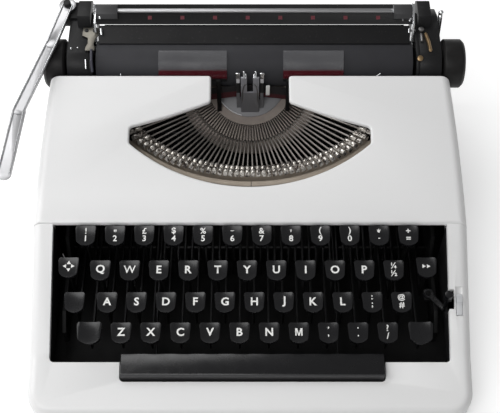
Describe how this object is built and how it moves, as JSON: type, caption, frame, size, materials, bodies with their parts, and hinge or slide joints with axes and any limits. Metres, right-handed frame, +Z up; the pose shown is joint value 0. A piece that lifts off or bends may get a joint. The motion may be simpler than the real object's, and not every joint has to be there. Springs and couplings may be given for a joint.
{
  "type": "manual typewriter",
  "caption": "Portable manual typewriter: low off-white case, hinged ribbon cover over a fan of type bars, moving carriage with platen and return lever, four rows of sprung keys.",
  "frame": {"origin": "middle of the machine's bounding box, on the table under the feet", "axes": "+X to the typist's right, +Y from the keyboard to the carriage, +Z up"},
  "size_m": [0.3182, 0.283, 0.11],
  "materials": {
    "case_paint": "satin off-white stove enamel",
    "dark_enamel": "black semi-gloss enamel",
    "frame_steel": "plain steel",
    "bar_steel": "plated steel",
    "segment_iron": "machined, bronze-grey",
    "plate_grey": "grey enamel",
    "chrome": "polished",
    "key_black": "glossy black, white legends",
    "knob_black": "satin black",
    "platen_rubber": "ground rubber",
    "foot_rubber": "moulded rubber",
    "rest_pad": "beige pad",
    "ribbon_cloth": "inked cloth, black over red",
    "spool_metal": "satin",
    "clear": "clear",
    "grey_plastic": "light grey"
  },
  "bodies": {
    "machine": {"top_case": "case_paint", "lower_case": "dark_enamel", "rubber_feet": "foot_rubber", "main_frame": "frame_steel", "key_fulcrum": "frame_steel", "carriage_rail": "frame_steel", "type_segment": "segment_iron", "segment_plate": "plate_grey", "type_bars": "bar_steel", "type_guide": "plate_grey", "type_rest": "rest_pad", "card_holders": "clear", "ribbon": "ribbon_cloth"},
    "cover": {"ribbon_cover": "case_paint"},
    "carriage": {"carriage_frame": "dark_enamel", "carriage_end_covers": "dark_enamel", "paper_table": "dark_enamel"},
    "platen": {"platen_roller": "platen_rubber", "platen_knobs": "knob_black"},
    "return_lever": {"return_lever": "chrome"},
    "paper_bail": {"paper_bail": "dark_enamel"},
    "paper_release": {"paper_release_lever": "chrome"},
    "type_bar_h": {"type_bar_h": "bar_steel"},
    "vibrator": {"ribbon_vibrator": "chrome"},
    "spool_left": {"spool_left": "spool_metal"},
    "spool_right": {"spool_right": "spool_metal"},
    "ribbon_selector": {"ribbon_selector": "key_black"},
    "rail_slider": {"rail_slider": "grey_plastic"},
    "key_a": {"key_a": "key_black"},
    "key_b": {"key_b": "key_black"},
    "key_c": {"key_c": "key_black"},
    "key_d": {"key_d": "key_black"},
    "key_e": {"key_e": "key_black"},
    "key_f": {"key_f": "key_black"},
    "key_g": {"key_g": "key_black"},
    "key_h": {"key_h": "key_black"},
    "key_i": {"key_i": "key_black"},
    "key_j": {"key_j": "key_black"},
    "key_k": {"key_k": "key_black"},
    "key_l": {"key_l": "key_black"},
    "key_m": {"key_m": "key_black"},
    "key_n": {"key_n": "key_black"},
    "key_o": {"key_o": "key_black"},
    "key_p": {"key_p": "key_black"},
    "key_q": {"key_q": "key_black"},
    "key_r": {"key_r": "key_black"},
    "key_s": {"key_s": "key_black"},
    "key_t": {"key_t": "key_black"},
    "key_u": {"key_u": "key_black"},
    "key_v": {"key_v": "key_black"},
    "key_w": {"key_w": "key_black"},
    "key_x": {"key_x": "key_black"},
    "key_y": {"key_y": "key_black"},
    "key_z": {"key_z": "key_black"},
    "figure_keys": {"figure_keys": "key_black"},
    "space_bar": {"space_bar": "key_black"},
    "shift_keys": {"shift_keys": "key_black"},
    "shift_lock_key": {"shift_lock_key": "key_black"},
    "margin_release_key": {"margin_release_key": "key_black"},
    "backspace_key": {"backspace_key": "key_black"}
  },
  "joints": [
    {"name": "key_a_press", "type": "hinge", "parent": "machine", "child": "key_a", "pos_m": [0.00813, 0.0835, 0.016], "axis": [1, 0, 0], "range_deg": [0, 4], "stiffness_Nm_per_rad": 0.1, "springref_deg": -5.73},
    {"name": "key_b_press", "type": "hinge", "parent": "machine", "child": "key_b", "pos_m": [0.00813, 0.0835, 0.016], "axis": [1, 0, 0], "range_deg": [0, 4], "stiffness_Nm_per_rad": 0.1, "springref_deg": -5.73},
    {"name": "key_c_press", "type": "hinge", "parent": "machine", "child": "key_c", "pos_m": [0.00813, 0.0835, 0.016], "axis": [1, 0, 0], "range_deg": [0, 4], "stiffness_Nm_per_rad": 0.1, "springref_deg": -5.73},
    {"name": "key_d_press", "type": "hinge", "parent": "machine", "child": "key_d", "pos_m": [0.00813, 0.0835, 0.016], "axis": [1, 0, 0], "range_deg": [0, 4], "stiffness_Nm_per_rad": 0.1, "springref_deg": -5.73},
    {"name": "key_e_press", "type": "hinge", "parent": "machine", "child": "key_e", "pos_m": [0.00813, 0.0835, 0.016], "axis": [1, 0, 0], "range_deg": [0, 4], "stiffness_Nm_per_rad": 0.1, "springref_deg": -5.73},
    {"name": "key_f_press", "type": "hinge", "parent": "machine", "child": "key_f", "pos_m": [0.00813, 0.0835, 0.016], "axis": [1, 0, 0], "range_deg": [0, 4], "stiffness_Nm_per_rad": 0.1, "springref_deg": -5.73},
    {"name": "key_g_press", "type": "hinge", "parent": "machine", "child": "key_g", "pos_m": [0.00813, 0.0835, 0.016], "axis": [1, 0, 0], "range_deg": [0, 4], "stiffness_Nm_per_rad": 0.1, "springref_deg": -5.73},
    {"name": "key_h_press", "type": "hinge", "parent": "machine", "child": "key_h", "pos_m": [0.00813, 0.0835, 0.016], "axis": [1, 0, 0], "range_deg": [0, 4], "stiffness_Nm_per_rad": 0.1, "springref_deg": -5.73},
    {"name": "key_i_press", "type": "hinge", "parent": "machine", "child": "key_i", "pos_m": [0.00813, 0.0835, 0.016], "axis": [1, 0, 0], "range_deg": [0, 4], "stiffness_Nm_per_rad": 0.1, "springref_deg": -5.73},
    {"name": "key_j_press", "type": "hinge", "parent": "machine", "child": "key_j", "pos_m": [0.00813, 0.0835, 0.016], "axis": [1, 0, 0], "range_deg": [0, 4], "stiffness_Nm_per_rad": 0.1, "springref_deg": -5.73},
    {"name": "key_k_press", "type": "hinge", "parent": "machine", "child": "key_k", "pos_m": [0.00813, 0.0835, 0.016], "axis": [1, 0, 0], "range_deg": [0, 4], "stiffness_Nm_per_rad": 0.1, "springref_deg": -5.73},
    {"name": "key_l_press", "type": "hinge", "parent": "machine", "child": "key_l", "pos_m": [0.00813, 0.0835, 0.016], "axis": [1, 0, 0], "range_deg": [0, 4], "stiffness_Nm_per_rad": 0.1, "springref_deg": -5.73},
    {"name": "key_m_press", "type": "hinge", "parent": "machine", "child": "key_m", "pos_m": [0.00813, 0.0835, 0.016], "axis": [1, 0, 0], "range_deg": [0, 4], "stiffness_Nm_per_rad": 0.1, "springref_deg": -5.73},
    {"name": "key_n_press", "type": "hinge", "parent": "machine", "child": "key_n", "pos_m": [0.00813, 0.0835, 0.016], "axis": [1, 0, 0], "range_deg": [0, 4], "stiffness_Nm_per_rad": 0.1, "springref_deg": -5.73},
    {"name": "key_o_press", "type": "hinge", "parent": "machine", "child": "key_o", "pos_m": [0.00813, 0.0835, 0.016], "axis": [1, 0, 0], "range_deg": [0, 4], "stiffness_Nm_per_rad": 0.1, "springref_deg": -5.73},
    {"name": "key_p_press", "type": "hinge", "parent": "machine", "child": "key_p", "pos_m": [0.00813, 0.0835, 0.016], "axis": [1, 0, 0], "range_deg": [0, 4], "stiffness_Nm_per_rad": 0.1, "springref_deg": -5.73},
    {"name": "key_q_press", "type": "hinge", "parent": "machine", "child": "key_q", "pos_m": [0.00813, 0.0835, 0.016], "axis": [1, 0, 0], "range_deg": [0, 4], "stiffness_Nm_per_rad": 0.1, "springref_deg": -5.73},
    {"name": "key_r_press", "type": "hinge", "parent": "machine", "child": "key_r", "pos_m": [0.00813, 0.0835, 0.016], "axis": [1, 0, 0], "range_deg": [0, 4], "stiffness_Nm_per_rad": 0.1, "springref_deg": -5.73},
    {"name": "key_s_press", "type": "hinge", "parent": "machine", "child": "key_s", "pos_m": [0.00813, 0.0835, 0.016], "axis": [1, 0, 0], "range_deg": [0, 4], "stiffness_Nm_per_rad": 0.1, "springref_deg": -5.73},
    {"name": "key_t_press", "type": "hinge", "parent": "machine", "child": "key_t", "pos_m": [0.00813, 0.0835, 0.016], "axis": [1, 0, 0], "range_deg": [0, 4], "stiffness_Nm_per_rad": 0.1, "springref_deg": -5.73},
    {"name": "key_u_press", "type": "hinge", "parent": "machine", "child": "key_u", "pos_m": [0.00813, 0.0835, 0.016], "axis": [1, 0, 0], "range_deg": [0, 4], "stiffness_Nm_per_rad": 0.1, "springref_deg": -5.73},
    {"name": "key_v_press", "type": "hinge", "parent": "machine", "child": "key_v", "pos_m": [0.00813, 0.0835, 0.016], "axis": [1, 0, 0], "range_deg": [0, 4], "stiffness_Nm_per_rad": 0.1, "springref_deg": -5.73},
    {"name": "key_w_press", "type": "hinge", "parent": "machine", "child": "key_w", "pos_m": [0.00813, 0.0835, 0.016], "axis": [1, 0, 0], "range_deg": [0, 4], "stiffness_Nm_per_rad": 0.1, "springref_deg": -5.73},
    {"name": "key_x_press", "type": "hinge", "parent": "machine", "child": "key_x", "pos_m": [0.00813, 0.0835, 0.016], "axis": [1, 0, 0], "range_deg": [0, 4], "stiffness_Nm_per_rad": 0.1, "springref_deg": -5.73},
    {"name": "key_y_press", "type": "hinge", "parent": "machine", "child": "key_y", "pos_m": [0.00813, 0.0835, 0.016], "axis": [1, 0, 0], "range_deg": [0, 4], "stiffness_Nm_per_rad": 0.1, "springref_deg": -5.73},
    {"name": "key_z_press", "type": "hinge", "parent": "machine", "child": "key_z", "pos_m": [0.00813, 0.0835, 0.016], "axis": [1, 0, 0], "range_deg": [0, 4], "stiffness_Nm_per_rad": 0.1, "springref_deg": -5.73},
    {"name": "figure_keys_press", "type": "hinge", "parent": "machine", "child": "figure_keys", "pos_m": [0.00813, 0.0835, 0.016], "axis": [1, 0, 0], "range_deg": [0, 4], "stiffness_Nm_per_rad": 1.8, "springref_deg": -5.73},
    {"name": "space_bar_press", "type": "hinge", "parent": "machine", "child": "space_bar", "pos_m": [0.00813, 0.0835, 0.016], "axis": [1, 0, 0], "range_deg": [0, 2.5], "stiffness_Nm_per_rad": 0.4, "springref_deg": -5.73},
    {"name": "shift_press", "type": "hinge", "parent": "machine", "child": "shift_keys", "pos_m": [0.00813, 0.0835, 0.016], "axis": [1, 0, 0], "range_deg": [0, 4], "stiffness_Nm_per_rad": 0.3, "springref_deg": -5.73},
    {"name": "shift_lock_key_press", "type": "hinge", "parent": "machine", "child": "shift_lock_key", "pos_m": [0.00813, 0.0835, 0.016], "axis": [1, 0, 0], "range_deg": [0, 4], "stiffness_Nm_per_rad": 0.1, "springref_deg": -5.73},
    {"name": "margin_release_key_press", "type": "hinge", "parent": "machine", "child": "margin_release_key", "pos_m": [0.00813, 0.0835, 0.016], "axis": [1, 0, 0], "range_deg": [0, 4], "stiffness_Nm_per_rad": 0.1, "springref_deg": -5.73},
    {"name": "backspace_key_press", "type": "hinge", "parent": "machine", "child": "backspace_key", "pos_m": [0.00813, 0.0835, 0.016], "axis": [1, 0, 0], "range_deg": [0, 4], "stiffness_Nm_per_rad": 0.1, "springref_deg": -5.73},
    {"name": "type_bar_h_swing", "type": "hinge", "parent": "machine", "child": "type_bar_h", "pos_m": [0.00927, 0.06091, 0.03491], "axis": [-0.9997, -0.0225, -0.013], "range_deg": [0, 78]},
    {"name": "vibrator_lift", "type": "slide", "parent": "machine", "child": "vibrator", "axis": [0, 0, 1], "range_m": [0, 0.008]},
    {"name": "spool_left_turn", "type": "hinge", "parent": "machine", "child": "spool_left", "pos_m": [-0.10487, 0.0355, 0.056], "axis": [0, 0, 1], "continuous": true},
    {"name": "spool_right_turn", "type": "hinge", "parent": "machine", "child": "spool_right", "pos_m": [0.12112, 0.0355, 0.056], "axis": [0, 0, 1], "continuous": true},
    {"name": "carriage_slide", "type": "slide", "parent": "machine", "child": "carriage", "axis": [1, 0, 0], "range_m": [-0.1, 0.1]},
    {"name": "platen_turn", "type": "hinge", "parent": "carriage", "child": "platen", "pos_m": [0.01112, 0.0989, 0.078], "axis": [1, 0, 0], "continuous": true},
    {"name": "return_lever_swing", "type": "hinge", "parent": "carriage", "child": "return_lever", "pos_m": [-0.12187, 0.1355, 0.0975], "axis": [0, 0, 1], "range_deg": [0, 20], "stiffness_Nm_per_rad": 0.2, "springref_deg": -5.73},
    {"name": "paper_bail_lift", "type": "hinge", "parent": "carriage", "child": "paper_bail", "pos_m": [0.01112, 0.1111, 0.0849], "axis": [1, 0, 0], "range_deg": [0, 66]},
    {"name": "paper_release_pull", "type": "hinge", "parent": "carriage", "child": "paper_release", "pos_m": [0.14303, 0.1225, 0.078], "axis": [1, 0, 0], "range_deg": [0, 22]},
    {"name": "ribbon_cover_lift", "type": "hinge", "parent": "machine", "child": "cover", "pos_m": [0.00813, -0.0236, 0.06391], "axis": [-1, 0, 0], "range_deg": [-60, 0]},
    {"name": "ribbon_selector_swing", "type": "hinge", "parent": "machine", "child": "ribbon_selector", "pos_m": [0.12712, -0.0605, 0.031], "axis": [0, 0, 1], "range_deg": [-16, 4]},
    {"name": "rail_slider_slide", "type": "slide", "parent": "machine", "child": "rail_slider", "axis": [0, 0.9138, 0.4062], "range_m": [0, 0.004]}
  ],
  "couplings": [
    {"joint": "type_bar_h_swing", "follows": "key_h_press", "ratio": 19.499},
    {"joint": "vibrator_lift", "follows": "key_h_press", "m_per_rad": 0.1145},
    {"joint": "spool_right_turn", "follows": "spool_left_turn", "ratio": 1}
  ]
}
